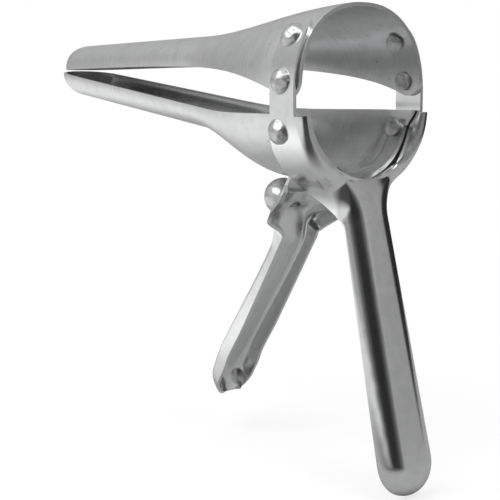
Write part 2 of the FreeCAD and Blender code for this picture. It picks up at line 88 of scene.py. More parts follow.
def start_angle(share, power):
    """The angle at which that arch has risen by this share of its height."""
    return np.arcsin(np.clip(share, 0, 1) ** (power / 2))


def closing(start, end, count):
    """Shares after the start and up to the end, with steps that grow shorter."""
    return start + (end - start) * np.sin(np.linspace(0, math.pi / 2, count)[1:])


def nose(station, base, length):
    """Way along a blade and how much of its section is left: an ellipse closes the tip."""
    turn = np.clip(station - 1, 0, 1) * math.pi / 2
    return base * np.clip(station, 0, 1) + length * np.sin(turn), np.cos(turn)


# %% [markdown]
# ## From a grid of points to a sheet of steel
# numpy gives each piece as one grid of points on its outer face. The grid becomes a mesh of
# quads, Solidify gives it the gauge of the sheet, and a very small bevel breaks the sharp edges,
# because it is the broken edge of a sheet that catches the light.

# %% Mesh helpers
GAUGE = 1.0
EDGE_BREAK = 0.12
RIVET_BREAK = 0.08
SHARP = math.radians(50)
SEAM = 0.004
TOUCHING = 0.001


def placed(name, data):
    """A new object at the origin of the scene."""
    item = bpy.data.objects.new(name, data)
    bpy.context.collection.objects.link(item)
    return item


def grid_faces(rows, columns):
    """Quads of a grid whose points are numbered row by row."""
    r = np.arange(rows - 1)[:, None]
    c = np.arange(columns - 1)[None, :]
    quads = np.stack([r * columns + c, r * columns + c + 1,
                      (r + 1) * columns + c + 1, (r + 1) * columns + c], axis=-1)
    return quads.reshape(-1, 4)


def make_piece(name, grids, body, nodes):
    """One object from grids in millimetres, merged where the grids share an edge."""
    points = np.concatenate([grid.reshape(-1, 3) for grid in grids]) * MM
    faces = []
    first = 0
    for grid in grids:
        faces.append(grid_faces(*grid.shape[:2]) + first)
        first += grid.shape[0] * grid.shape[1]
    mesh = bpy.data.meshes.new(name)
    mesh.from_pydata(points.tolist(), [], np.concatenate(faces).tolist())
    piece = placed(name, mesh)
    weld(mesh, SEAM)
    mesh.shade_smooth()
    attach(piece, body)
    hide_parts(*nodes)
    return piece


def weld(mesh, distance, turn_faces=True):
    """Merges points closer than a distance in millimetres, and may turn faces alike."""
    work = bmesh.new()
    work.from_mesh(mesh)
    bmesh.ops.remove_doubles(work, verts=work.verts, dist=distance * MM)
    bmesh.ops.dissolve_degenerate(work, edges=work.edges, dist=TOUCHING * MM)
    if turn_faces:
        bmesh.ops.recalc_face_normals(work, faces=work.faces)
    work.to_mesh(mesh)
    work.free()


def break_edges(piece, width):
    """A fine bevel along every sharp edge."""
    edge = piece.modifiers.new("edge_break", "BEVEL")
    edge.width = width * MM
    edge.segments = 2
    edge.limit_method = "ANGLE"
    edge.angle_limit = SHARP
    edge.harden_normals = True


def to_sheet(piece, outward):
    """Gives the skin its thickness on the inner side, and breaks its edges."""
    mesh = piece.data
    probe = max(mesh.polygons, key=lambda face: face.center.dot(outward))
    if probe.normal.dot(outward) < 0:
        mesh.flip_normals()
    thick = piece.modifiers.new("gauge", "SOLIDIFY")
    thick.thickness = GAUGE * MM
    thick.offset = -1
    thick.use_even_offset = False
    break_edges(piece, EDGE_BREAK)


# %% [markdown]
# ## Upper blade
# The fixed blade is a duck's bill: an arch that is 43 mm wide at the mouth and 20 mm at the tip,
# where it closes in a rounded nose. Its free edge climbs away from the rim in one long curve.
# One grid does it all: rows run along the blade and columns over the arch.

# %% Build the upper blade
RIM_BACK = 2.1
UPPER_LENGTH = 138.4
NOSE = 8.5
UPPER_BASE = UPPER_LENGTH - NOSE
PARALLEL = 10.3
FLARE = 60.0
WAIST = 12.4
RIM_HALF = 21.6
RIM_HEIGHT = 22.8
CREST = 17.5
CREST_START = -2.0
UPPER_TIP = 9.8
UPPER_EDGE = 9.5
UPPER_POWER = 2.3
EAR = 4.0
EDGE_START = EAR + 1
EDGE_RISE = 5.5 * EAR
RIM_ROWS = 9
LENGTH_ROWS = 110
NOSE_ROWS = 26
TURNS = 121


def upper_edge(back):
    """Height of the free edge: a curve that settles exponentially towards its full height."""
    return UPPER_EDGE * (1 - np.exp(-np.clip(back - EDGE_START, 0, None) / EDGE_RISE))


def upper_ear(back):
    """The ear's corner, a quarter circle at the rim."""
    near = np.clip(EAR - back, 0, EAR)
    return EAR - np.sqrt(EAR ** 2 - near ** 2)


def upper_skin(station, turn):
    """The outside of the upper blade, from the rim to the nose and over the arch."""
    back, left = nose(station, UPPER_BASE, NOSE)
    forward = ease(back, PARALLEL, FLARE)
    share = np.clip((back - FLARE) / (UPPER_BASE - FLARE), 0, 1)
    half = blend(RIM_HALF, blend(WAIST, UPPER_TIP, share), forward) * left
    crest = blend(RIM_HEIGHT, CREST, ease(back, CREST_START, FLARE))
    edge = upper_edge(back)
    centre = edge * forward
    edge = np.maximum(edge, upper_ear(back))
    first = start_angle((edge - centre) / (crest - centre), UPPER_POWER)
    angle = blend(first, math.pi - first, turn)
    y, rise = arched(half, (crest - centre) * left, UPPER_POWER, angle)
    return np.stack([-RIM_BACK - back + 0 * y, y, centre + rise], axis=-1)


def blade_rows(base):
    """Stations along a blade, drawn together where the rim's corner is round."""
    rim = EAR * (1 - np.cos(np.linspace(0, math.pi / 2, RIM_ROWS))) / base
    along = np.linspace(EAR / base, 1, LENGTH_ROWS)[1:]
    tip = 1 + np.linspace(0, 1, NOSE_ROWS)[1:]
    return np.concatenate([rim, along, tip])[:, None]


turns = np.linspace(0, 1, TURNS)[None, :]
upper_blade = make_piece("upper_blade_skin", [upper_skin(blade_rows(UPPER_BASE), turns)],
                         "frame", ["upper_blade"])
to_sheet(upper_blade, Vector((0, 0, 1)))
print("upper blade", len(upper_blade.data.polygons), "faces")

# %% [markdown]
# ## Lower blade
# The moving blade is a trough. At the mouth it is a round collar that carries the two hinge
# ears, and behind the collar its section draws in to a shallow channel that ends in a nose
# like the upper one. The collar's front rim leans forward above the hinge, so each column of
# the grid starts at its own distance behind the mouth, worked out from its own height.

# %% Build the lower blade
REAR_START = 3.0
LOWER_BASE = 141.95 - NOSE
COLLAR = 21.3
LOWER_TIP = 10.0
LOWER_EDGE = 3.8
LOWER_DEPTH = 7.4
LINE_START = 45.2
LINE_SLOPE = 0.134
LINE_SOFTNESS = 5.0
COLLAR_POWER = 2.4
ROUND_POWER = 2.0
CHANNEL_POWER = 2.2
COLLAR_END = 10.5
DRAW_START = 14.0
CHANNEL_START = 24.0
COLLAR_BACK = 6.4
HINGE_LEAN = 2.4
HINGE_LOW = -8.6
HINGE_HIGH = -3.6
EAR_LEAN = 0.8
EAR_LOW = -4.6
EAR_SPAN = 9.6
RIM_PROBE = 5.0
RIM_FADE = 40.0


def lower_point(back, left, turn):
    """A superellipse trough hung between two straight free edges that climb to the tip."""
    forward = ease(back, CHANNEL_START, FLARE)
    past = (back - LINE_START) / LINE_SOFTNESS
    edge = LINE_SLOPE * LINE_SOFTNESS * np.logaddexp(0, past) - LOWER_EDGE
    line = LINE_SLOPE * (back - LINE_START) - LOWER_EDGE
    bottom = blend(-COLLAR, line - LOWER_DEPTH, forward)
    centre = edge * forward
    share = np.clip((back - FLARE) / (LOWER_BASE - FLARE), 0, 1)
    half = blend(COLLAR, blend(WAIST, LOWER_TIP, share), ease(back, DRAW_START, FLARE)) * left
    power = blend(COLLAR_POWER, ROUND_POWER, ease(back, COLLAR_END, DRAW_START))
    power = power + (CHANNEL_POWER - ROUND_POWER) * forward
    depth = centre - bottom
    first = start_angle((centre - edge) / depth, power)
    angle = blend(first, math.pi - first, turn)
    y, drop = arched(half, depth * left, power, angle)
    return np.stack([-back + 0 * y, y, centre - drop], axis=-1)


def collar_rim(z):
    """How far behind the mouth the collar's rim is at a height: it leans forward at the ears."""
    beside_hinge = HINGE_LEAN * ease(z, HINGE_LOW, HINGE_HIGH)
    above_hinge = EAR_LEAN * np.clip((z - EAR_LOW) / EAR_SPAN, 0, 1)
    return COLLAR_BACK - beside_hinge - above_hinge


def lower_skin(station, turn):
    """The outside of the lower blade; the rim's own shape fades out by RIM_FADE."""
    back, left = nose(station, LOWER_BASE - REAR_START, NOSE)
    back = back + REAR_START
    rim = collar_rim(lower_point(np.full_like(turn, RIM_PROBE), 1.0, turn)[..., 2])
    faded = rim + (back - REAR_START) * (RIM_FADE - rim) / (RIM_FADE - REAR_START)
    return lower_point(np.where(back < RIM_FADE, faded, back), left, turn)


lower_grid = lower_skin(blade_rows(LOWER_BASE - REAR_START), turns)
lower_blade = make_piece("lower_blade_skin", [lower_grid],
                         "lower_jaw", ["lower_blade"])
to_sheet(lower_blade, Vector((0, 0, -1)))
print("lower blade", len(lower_blade.data.polygons), "faces")

# %% [markdown]
# ## Lever
# The squeeze lever is a channel with a wide, wing-like head that one stud holds under the lower
# blade, and a spoon at its foot where the thumb presses. Its section is half a flat web, a
# round bend and a straight wall, and four numbers of that section change on the way down.

# %% Build the lever
HINGE = np.array([-9.2, 0, -7.9])
SLOPE = math.radians(57.4)
ALONG = np.array([-math.cos(SLOPE), 0, -math.sin(SLOPE)])
OUTWARD = np.array([math.sin(SLOPE), 0, -math.cos(SLOPE)])
ACROSS = np.array([0, 1, 0])
HEAD_TOP = 15.6
HEAD_END = 26.5
SHANK_START = 33.5
LEVER_REACH = 94.4
LEVER_END = LEVER_REACH + 0.05
SPOON_START = LEVER_REACH - 7
SPOON_CORNER = 6.0
HEAD_NARROW = 12.9
HEAD_WIDE = 15.0
TOP_FLARE = 1.5
SHANK_HALF = 6.7
HEAD_BEND = 14.0
SHANK_BEND = 2.4
SPOON_BEND = 2.4
HEAD_SWING = 44.0
SHANK_SWING = 88.0
LOW_WALL = 2.4
LEAST_WALL = 0.3
LEAST_FLAT = 0.4
NEARLY_ROUND = 0.985
RIM = 2.0
LIP = 0.1
HEAD_DEPTH = 5.2
NECK_DEPTH = 2.2
NECK_PLACE = 39.0
SHANK_DROP = 2.1
SPOON_POWER = 2.4
DIP = 16.0
DIP_DEPTH = 7.7
DIP_STEPS = 20
HEAD_SHARE = 0.25
SHANK_SHARE = 0.86
HEAD_ROWS = 60
SHANK_ROWS = 70
SPOON_ROWS = 44


def lever_frame(across, down, out):
    """A point across the lever, down it from the hinge, and out towards the handle."""
    return (HINGE + np.multiply.outer(down, ALONG) + np.multiply.outer(out, OUTWARD)
            + np.multiply.outer(across, ACROSS))


def web_level(down):
    """Where the web lies: deep under the head, shallow at the neck, deep again, then up."""
    level = -blend(HEAD_DEPTH, NECK_DEPTH, ease(down, HEAD_END + 2, NECK_PLACE))
    level = level - SHANK_DROP * ease(down, NECK_PLACE, SPOON_START)
    near_end = np.clip(down - SPOON_START, 0, None) / (LEVER_END - SPOON_START)
    return blend(level, RIM - LIP, near_end ** SPOON_POWER)


def lever_section(down, turn):
    """Across and out of one section: web, bend through an angle, and wall."""
    slim = ease(down, HEAD_END, SHANK_START)
    web = web_level(down)
    wing = blend(HEAD_NARROW, HEAD_WIDE, ease(down, HEAD_TOP + 3, HEAD_END - 1))
    wing = wing + TOP_FLARE * (1 - ease(down, HEAD_TOP - 1, HEAD_TOP + 4))
    near_end = np.clip(down - LEVER_END + SPOON_CORNER, 0, None) / SPOON_CORNER
    corner = SPOON_CORNER * (1 - np.sqrt(1 - (NEARLY_ROUND * near_end) ** 2))
    half = blend(wing, SHANK_HALF, slim) - corner
    rise = RIM - web
    bend = blend(HEAD_BEND, SHANK_BEND, slim)
    bend = bend + SPOON_BEND * ease(down, SPOON_START - 10, LEVER_REACH - 2)
    folded = 1 - np.exp(-(rise / LOW_WALL) ** 1.5)
    swing = np.radians(blend(HEAD_SWING, SHANK_SWING, slim) * folded)
    wall = np.clip((rise - bend * (1 - np.cos(swing))) / np.sin(swing), LEAST_WALL, None)
    wall = np.minimum(wall, 0.5 * half)
    flat = np.clip(half - bend * np.sin(swing) - wall * np.cos(swing), LEAST_FLAT, None)
    reach = np.abs(2 * turn - 1) * (flat + bend * swing + wall)
    angle = np.clip(reach - flat, 0, bend * swing) / bend
    rest = np.clip(reach - flat - bend * swing, 0, None)
    across = np.minimum(reach, flat) + bend * np.sin(angle) + rest * np.cos(swing)
    bow = bend * (1 - np.cos(angle)) + rest * np.sin(swing)
    return np.sign(0.5 - turn) * across, web + bow


def lever_start(turn):
    """Where each column meets the round dip that is cut into the head's top edge."""
    down = np.full_like(turn, HEAD_TOP + 4)
    for _ in range(DIP_STEPS):
        across, _out = lever_section(down, turn)
        dip = np.sqrt(np.clip(DIP ** 2 - across ** 2, 0, None))
        down = 0.5 * down + 0.5 * np.maximum(HEAD_TOP, HEAD_TOP + DIP_DEPTH - DIP + dip)
    return down


def lever_skin(share, turn):
    """The outside of the lever, from the cut top edge of its head to the spoon's end."""
    start = lever_start(turn)
    down = start + (LEVER_REACH - start) * share
    across, out = lever_section(down, turn + 0 * down)
    return lever_frame(across, down, out)


head_rows = np.linspace(0, HEAD_SHARE, HEAD_ROWS)
shank_rows = np.linspace(HEAD_SHARE, SHANK_SHARE, SHANK_ROWS)[1:]
spoon_rows = closing(SHANK_SHARE, 1, SPOON_ROWS)
lever_rows = np.concatenate([head_rows, shank_rows, spoon_rows])[:, None]
lever = make_piece("lever_skin", [lever_skin(lever_rows, turns)],
                   "lower_jaw", ["lever"])
to_sheet(lever, Vector(-OUTWARD))
print("lever", len(lever.data.polygons), "faces")

# %% [markdown]
# ## Tongue
# Under the lower blade a small tab takes the stud that holds the lever's head. The tab is a
# flat strip with a round end. Its stud is dressed with the rivets, further on.

# %% Build the tongue
STUD_PLACE = 28.9
TONGUE_HALF = 5.0
TONGUE_TOP = 18.6
TONGUE_OUT = -5.25 - GAUGE
TONGUE_COLUMNS = 17
STRAIGHT_SHARE = 0.67
STRAIGHT_ROWS = 12
ROUND_ROWS = 24


def tongue_skin(share, turn):
    """A strip whose half width is a circle's chord past the stud."""
    down = blend(TONGUE_TOP, STUD_PLACE + TONGUE_HALF, share)
    past = np.clip(down - STUD_PLACE, 0, TONGUE_HALF)
    half = np.sqrt(TONGUE_HALF ** 2 - past ** 2)
    across = half * (1 - 2 * turn)
    return lever_frame(across, down + 0 * across, TONGUE_OUT + 0 * across)


tongue_rows = np.concatenate([np.linspace(0, STRAIGHT_SHARE, STRAIGHT_ROWS),
                              closing(STRAIGHT_SHARE, 1, ROUND_ROWS)])[:, None]
tongue_columns = np.linspace(0, 1, TONGUE_COLUMNS)[None, :]
tongue = make_piece("tongue_skin", [tongue_skin(tongue_rows, tongue_columns)],
                    "lower_jaw", ["lower_blade"])
to_sheet(tongue, Vector(-OUTWARD))

# %% [markdown]
# ## Yoke, straps and handle
# One pressing makes the ring round the mouth, the two straps that hold the upper blade, and the
# long handle. It is walked along its outline: at each point a wall runs forward, a bend turns
# it inwards, and the flat front runs on to the mouth's edge, or below the mouth to the middle
# line. One half is worked out and the other half mirrors it.

# %% Outline of the yoke and handle
YOKE_RADIUS = 22.65
YOKE_Z = -2.45
MOUTH = 20.2
FLANGE_TOP = -4.4
STRAP_FRONT = -2.8
STRAP_REAR = -11.4
NECK_RADIUS = 12.0
NECK_HALF = 7.7
NECK = np.array([NECK_HALF + NECK_RADIUS, 0.0])
NECK[1] = YOKE_Z - math.sqrt((YOKE_RADIUS + NECK_RADIUS) ** 2 - NECK[0] ** 2)
END_RADIUS = 8.5
HANDLE_FOOT = -98.8
END_Z = END_RADIUS + HANDLE_FOOT
LEAN = math.radians(14.0)
LEAN_START = 21.8
LEAN_RADIUS = 15.0
YOKE_POINTS = 48
NECK_POINTS = 40
END_POINTS = 36
SIDE_POINTS = 62


def arc(centre, radius, start, end, count):
    """Points on a circle from one angle to another, and the directions out of its centre."""
    angle = np.linspace(start, end, count)
    out = np.stack([np.cos(angle), np.sin(angle)], axis=-1)
    return np.array(centre) + radius * out, out


line = NECK - np.array([0, END_Z])
slant = math.atan2(line[1], line[0]) + math.asin((END_RADIUS + NECK_RADIUS) / np.hypot(*line))
yoke_end = math.atan2(NECK[1] - YOKE_Z, NECK[0])
yoke_arc, yoke_out = arc((0, YOKE_Z), YOKE_RADIUS,
                         math.asin((FLANGE_TOP - YOKE_Z) / YOKE_RADIUS), yoke_end, YOKE_POINTS)
neck_arc, neck_in = arc(NECK, NECK_RADIUS, yoke_end + math.pi, slant + math.pi / 2,
                        NECK_POINTS)
end_arc, end_out = arc((0, END_Z), END_RADIUS, slant - math.pi / 2, -math.pi / 2,
                       END_POINTS)
share = np.linspace(0, 1, SIDE_POINTS)[1:-1, None]
side_line = blend(neck_arc[-1], end_arc[0], share)
side_out = np.repeat(end_out[:1], len(side_line), axis=0)
outline = np.concatenate([yoke_arc, neck_arc[1:], side_line, end_arc])
inward = -np.concatenate([yoke_out, -neck_in[1:], side_out, end_out])
print("outline", len(outline), "points, lowest", round(float(outline[-1, 1]), 2))

# %% Build the handle
MOUTH_BEND = 2.0
HANDLE_BEND = 5.0
SEAT_GAP = 0.05
STRAP_SHOULDER = 14.3
STRAP_COLUMNS = 19
STRAP_ROWS = 50
WALL_ROWS = 5
BEND_COLUMNS = 15
WEB_COLUMNS = 9
HALF_NECK = 22
MOST_CUT = 0.9
LEAST_SIDE = 0.35
NEAR_BEND = 0.8
NEAR_SHARE = 0.3


def front_x(z):
    """The front face: upright, then a bend of radius 15, then leaning 14 degrees forward."""
    start = -LEAN_START + LEAN_RADIUS * math.tan(LEAN / 2)
    below = np.clip(start - z, 0, LEAN_RADIUS * math.sin(LEAN))
    bent = LEAN_RADIUS - np.sqrt(LEAN_RADIUS ** 2 - below ** 2)
    leaning = -(LEAN_START + z) * math.tan(LEAN)
    return np.where(z < start - LEAN_RADIUS * math.sin(LEAN), leaning, bent)


def front_lean(z):
    """How far the front face leans at a height."""
    start = -LEAN_START + LEAN_RADIUS * math.tan(LEAN / 2)
    return LEAN * np.clip((start - z) / (LEAN_RADIUS * math.sin(LEAN)), 0, 1)


def bend_radius(z):
    """Outer bend radius: 2 mm beside the mouth, growing to 5 mm below the neck."""
    return blend(MOUTH_BEND, HANDLE_BEND, ease(-z, 8, 31))


def rear_x(z):
    """The walls' rear edge: strap, lobe behind the hinge, neck, slim wall; its corners are
    softened by the mean over 3.6 mm of height."""
    height = [0, 5.9, 11.9, 22.6, 31.3, 103.8]
    edge = [STRAP_REAR, STRAP_REAR, -13.3, -13.3, -1.03, 14.98]
    nearby = np.linspace(-1.8, 1.8, 13)
    return np.interp(-z[..., None] + nearby, height, edge).mean(axis=-1)


def offset_strap(x, z):
    """The upper blade's superellipse at a height, moved out by the seat gap and the gauge."""
    crest = blend(RIM_HEIGHT, CREST, ease(-x - RIM_BACK, CREST_START, FLARE))
    angle = start_angle(z / crest, UPPER_POWER)
    y, up = arched(RIM_HALF, crest, UPPER_POWER, angle)
    slope_y = (y / RIM_HALF) ** (UPPER_POWER - 1) / RIM_HALF
    slope_z = (up / crest) ** (UPPER_POWER - 1) / crest
    reach = (GAUGE + SEAT_GAP) / np.hypot(slope_y, slope_z)
    return np.stack([x, y + slope_y * reach, up + slope_z * reach], axis=-1)


across_strap = (1 - np.cos(np.linspace(0, math.pi, STRAP_COLUMNS))) / 2
columns = STRAP_REAR + (STRAP_FRONT - STRAP_REAR) * across_strap
middle = (STRAP_REAR + STRAP_FRONT) / 2
radius = (STRAP_FRONT - STRAP_REAR) / 2
strap_top = STRAP_SHOULDER + np.sqrt(np.clip(radius ** 2 - (columns - middle) ** 2, 0, None))
up = np.linspace(1, 0, STRAP_ROWS)[:, None]
strap = offset_strap(columns + 0 * up, strap_top * up)

z = np.concatenate([np.linspace(0, YOKE_Z, WALL_ROWS)[1:],
                    np.linspace(YOKE_Z, FLANGE_TOP, WALL_ROWS)[1:]])
y = np.sqrt(YOKE_RADIUS ** 2 - np.clip(YOKE_Z - z, 0, None) ** 2)
rear = rear_x(z)
upper_wall = np.stack([rear[:, None] + (STRAP_FRONT - rear[:, None]) * across_strap,
                       np.repeat(y[:, None], STRAP_COLUMNS, axis=1),
                       np.repeat(z[:, None], STRAP_COLUMNS, axis=1)], axis=-1)
strap_grid = np.concatenate([strap, upper_wall])

y, z = outline.T
bend = bend_radius(z)
rear = rear_x(z)
lean = front_lean(z)
side = np.stack([0 * y, -inward[:, 0], -inward[:, 1]], axis=-1)
front = np.stack([np.cos(lean), 0 * lean, np.sin(lean)], axis=-1)
cosine = (side * front).sum(axis=-1)
corner = np.arccos(cosine)
toward = (front - cosine[:, None] * side) / np.sin(corner)[:, None]
wall_end = front_x(z) - bend * (1 - cosine) / np.cos(lean)
cut_off = np.arcsin(np.clip((rear - wall_end) / (bend * toward[:, 0]), 0, MOST_CUT))
centre = np.stack([wall_end, y, z], axis=-1) - bend[:, None] * side
bend_share = np.linspace(0, 1, BEND_COLUMNS)[:, None]
turn = (cut_off + (corner - cut_off) * bend_share).T[..., None]
bend_grid = centre[:, None, :] + bend[:, None, None] * (
    np.cos(turn) * side[:, None, :] + np.sin(turn) * toward[:, None, :])

wall_front = bend_grid[:, 0, 0]
rear = np.minimum(rear, wall_front - LEAST_SIDE)
near_front = wall_front - np.minimum(NEAR_BEND, NEAR_SHARE * (wall_front - rear))
x = np.concatenate([rear[:, None] + (near_front - rear)[:, None] * across_strap,
                    wall_front[:, None]], axis=1)
foot = bend_grid[:, :1, 1:]
wall_grid = np.concatenate([x[..., None], np.repeat(foot, STRAP_COLUMNS + 1, axis=1)], axis=-1)

mouth_angle = np.linspace(math.asin(FLANGE_TOP / MOUTH), -math.pi / 2,
                          YOKE_POINTS + HALF_NECK)
to_mouth = MOUTH * np.stack([np.cos(mouth_angle), np.sin(mouth_angle)], axis=-1)
rest = len(neck_arc) - 1 - HALF_NECK + len(side_line)
down = np.linspace(-MOUTH, END_Z, rest + 1)[1:]
down = np.concatenate([down, np.full(len(end_arc), END_Z)])
target = np.concatenate([to_mouth, np.stack([0 * down, down], axis=-1)])
share = np.linspace(0, 1, WEB_COLUMNS)[None, :, None]
shoulder = bend_grid[:, -1]
flat = shoulder[:, None, 1:] * (1 - share) + target[:, None, :] * share
miss = shoulder[:, 0] - front_x(shoulder[:, 2])
web_x = front_x(flat[..., 1]) + miss[:, None] * (1 - share[..., 0]) ** 2
web_grid = np.concatenate([web_x[..., None], flat], axis=-1)

halves = [strap_grid, wall_grid, bend_grid, web_grid]
flipped = [grid * np.array([1, -1, 1]) for grid in halves]
handle = make_piece("handle_skin", halves + flipped, "frame", ["handle"])
to_sheet(handle, Vector((1, 0, 0)))
print("handle", len(handle.data.polygons), "faces")

# %% [markdown]
# ## Rivets and stud
# CAD made the rivets with their heads dressed to the sheets, so a merged copy of each one is
# kept: the loose triangles of the CAD mesh are welded, and a fine bevel breaks the edges. The
# lever's stud has a round head, so it goes without a bevel.

# %% Dress copies of the CAD pieces
def dressed(node, body, edge_break):
    """A merged, smooth copy of a CAD piece, whose faces already look outwards."""
    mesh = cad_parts[node].data.copy()
    piece = placed(node + "_dressed", mesh)
    weld(mesh, TOUCHING, turn_faces=False)
    mesh.shade_smooth()
    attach(piece, body)
    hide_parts(node)
    if edge_break:
        break_edges(piece, edge_break)
    return piece


RIVETS = [f"{side}_{level}_rivet" for side in ("near", "far")
          for level in ("top", "middle", "pivot")]
rivets = [dressed(name, "frame", RIVET_BREAK) for name in RIVETS]
stud = dressed("lever_stud", "lower_jaw", 0)
print("dressed", len(rivets), "rivets and", stud.name)

# %% [markdown]
# ## Steel finishes
# All the steel is one metal, but three finishes are seen: the yoke, handle and lever are
# polished, the blades are brushed across their length, and the rivets are dull where they were
# hammered. The lever's polish is a little worn. Shader maths is easier to read as Python sums,
# so a small class wraps a socket.

# %% Shader helpers
MM_PER_METRE = 1000
STEEL_TINT = (0.99, 0.995, 1.0)
CAMERA_RAY = "Is Camera Ray"
GLOSSY_RAY = "Is Glossy Ray"


class Wire:
    """A socket whose sums and products add Math nodes to its tree."""

    def __init__(self, tree, socket):
        self.tree = tree
        self.socket = socket

    def math(self, operation, *others):
        node = self.tree.nodes.new("ShaderNodeMath")
        node.operation = operation
        for place, value in enumerate((self,) + others):
            plug(self.tree, node.inputs[place], value)
        return Wire(self.tree, node.outputs[0])

    def __add__(self, other):
        return self.math("ADD", other)

    def __sub__(self, other):
        return self.math("SUBTRACT", other)

    def __mul__(self, other):
        return self.math("MULTIPLY", other)

    def __rsub__(self, other):
        return (self * -1).math("ADD", other)

    __radd__ = __add__
    __rmul__ = __mul__

    def over(self, low, high):
        """0 below low, 1 above high, and straight between."""
        return ((self - low) * (1 / (high - low))).math("MINIMUM", 1.0).math("MAXIMUM", 0.0)


def plug(tree, socket, value):
    """Links a wire to a socket, or sets the socket's value."""
    if isinstance(value, Wire):
        tree.links.new(value.socket, socket)
    else:
        socket.default_value = value


def add_node(tree, kind, settings=None, output=0, **sockets):
    """Any node from its type, its settings and the values or links of its sockets."""
    node = tree.nodes.new(kind)
    for name, value in (settings or {}).items():
        setattr(node, name, value)
    for name, value in sockets.items():
        plug(tree, node.inputs[name.replace("_", " ")], value)
    return Wire(tree, node.outputs[output])


def mix_shaders(tree, share, first, second):
    """The first shader where the share is 0 and the second where it is 1."""
    mix = add_node(tree, "ShaderNodeMixShader", Fac=share)
    plug(tree, mix.socket.node.inputs[1], first)
    plug(tree, mix.socket.node.inputs[2], second)
    return mix


def new_material(name):
    """A metal, its node tree and its main shader."""
    material = bpy.data.materials.new(name)
    material.use_nodes = True
    shader = material.node_tree.nodes["Principled BSDF"]
    shader.inputs["Metallic"].default_value = 1.0
    return material, material.node_tree, shader


def stretched(tree, stretch):
    """Object coordinates in millimetres, stretched along each axis."""
    place = add_node(tree, "ShaderNodeTexCoord", output="Object")
    return add_node(tree, "ShaderNodeMapping", Vector=place,
                    Scale=tuple(MM_PER_METRE * s for s in stretch))


def noise(tree, stretch, scale, detail=3.0, roughness=0.55):
    """Cloudy noise around 0.5, squeezed along an axis by that axis's stretch."""
    return add_node(tree, "ShaderNodeTexNoise", {"noise_dimensions": "3D"}, output=0,
                    Vector=stretched(tree, stretch), Scale=scale, Detail=detail,
                    Roughness=roughness)


def gray(tree, value, tint=(1.0, 1.0, 1.0)):
    """A neutral colour from a wire that gives its brightness."""
    return add_node(tree, "ShaderNodeCombineColor", Red=value * tint[0],
                    Green=value * tint[1], Blue=value * tint[2])


def dress_metal(shader, tree, brightness, roughness, height, depth):
    """Plugs a metal's brightness, roughness and fine relief into its shader."""
    plug(tree, shader.inputs["Base Color"], gray(tree, brightness, STEEL_TINT))
    plug(tree, shader.inputs["Roughness"], roughness)
    bump = add_node(tree, "ShaderNodeBump", Height=height, Strength=1.0, Distance=depth * MM)
    plug(tree, shader.inputs["Normal"], bump)


# %% [markdown]
# ## Polished plate
# The handle is almost a mirror, so its look comes from what it reflects. Two things keep it
# from looking like plastic film: the press left it very slightly wavy, and years of wiping
# left hairline scratches that only the roughness shows.

# %% Make the polished finish
def polished_steel(name, dullness):
    """A near mirror, with faint waves, hairlines and specks."""
    material, tree, shader = new_material(name)
    wave = noise(tree, (1, 1, 1), 0.16, 1.0)
    cloud = noise(tree, (1, 1, 1), 0.35, 3.0)
    hair = noise(tree, (1.0, 6.0, 0.12), 5.0, 2.0)
    speck = noise(tree, (1, 1, 1), 2.2, 1.0).over(0.72, 0.8)
    rough = dullness + cloud * 0.06 + hair.over(0.62, 0.75) * 0.08 + speck * 0.1
    bright = 0.80 - cloud.over(0.4, 0.8) * 0.07 - speck * 0.12
    dress_metal(shader, tree, bright, rough, wave * 0.05 + cloud * 0.01 - speck * 0.003, 1.0)
    return material


# %% [markdown]
# ## Brushed blades
# The blades were polished on a belt, so the fine lines run across them, and the light spreads
# along the blade. The same noise, squeezed along X and stretched across it, makes those lines,
# and a few sparse pits make small dark specks.

# %% Make the brushed finish
def satin_steel():
    """Brushed steel, with lines across the blade and a few pits."""
    material, tree, shader = new_material("satin_steel")
    lines = noise(tree, (1.0, 0.09, 0.09), 2.2, 3.0, 0.65)
    bands = noise(tree, (1.0, 0.30, 0.30), 0.09, 2.0).over(0.42, 0.62)
    cloud = noise(tree, (1, 1, 1), 0.22, 3.0)
    pits = noise(tree, (1, 1, 1), 1.5, 1.0).over(0.73, 0.79)
    rough = 0.25 + lines.over(0.3, 0.7) * 0.10 + cloud * 0.08 + pits * 0.15
    scratch = (lines - 0.5) * (0.25 + bands * 0.75)
    bright = 0.70 + scratch * 0.35 - cloud.over(0.45, 0.8) * 0.08 - pits * 0.40
    relief = scratch * 0.05 + cloud * 0.02 - pits * 0.05
    dress_metal(shader, tree, bright, rough, relief, 1.0)
    return material


# %% [markdown]
# ## Hammered rivets
# A rivet's head is closed with a few hammer blows. Each blow leaves a shallow flat, which a
# Voronoi pattern gives, and the surface between stays dull.

# %% Make the rivets' finish
def rivet_steel():
    """Dull steel with shallow dents and stains."""
    material, tree, shader = new_material("rivet_steel")
    dents = add_node(tree, "ShaderNodeTexVoronoi", {"feature": "SMOOTH_F1"}, output=0,
                     Vector=stretched(tree, (1, 1, 1)), Scale=0.6, Smoothness=0.5)
    grain = noise(tree, (1, 1, 1), 1.6, 4.0)
    stain = noise(tree, (1, 1, 1), 0.5, 2.0)
    rough = 0.30 + grain * 0.16
    bright = 0.62 - stain.over(0.45, 0.75) * 0.22
    dress_metal(shader, tree, bright, rough, dents * 0.30 + grain * 0.08, 1.0)
    return material


BRIGHT_POLISH = 0.13
WORN_POLISH = 0.20
FINISHES = {
    "polished_steel": polished_steel("polished_steel", BRIGHT_POLISH),
    "worn_polish": polished_steel("worn_polish", WORN_POLISH),
    "satin_steel": satin_steel(),
    "rivet_steel": rivet_steel(),
}


def paint(piece, finish):
    """Gives a piece one finish."""
    piece.data.materials.clear()
    piece.data.materials.append(FINISHES[finish])


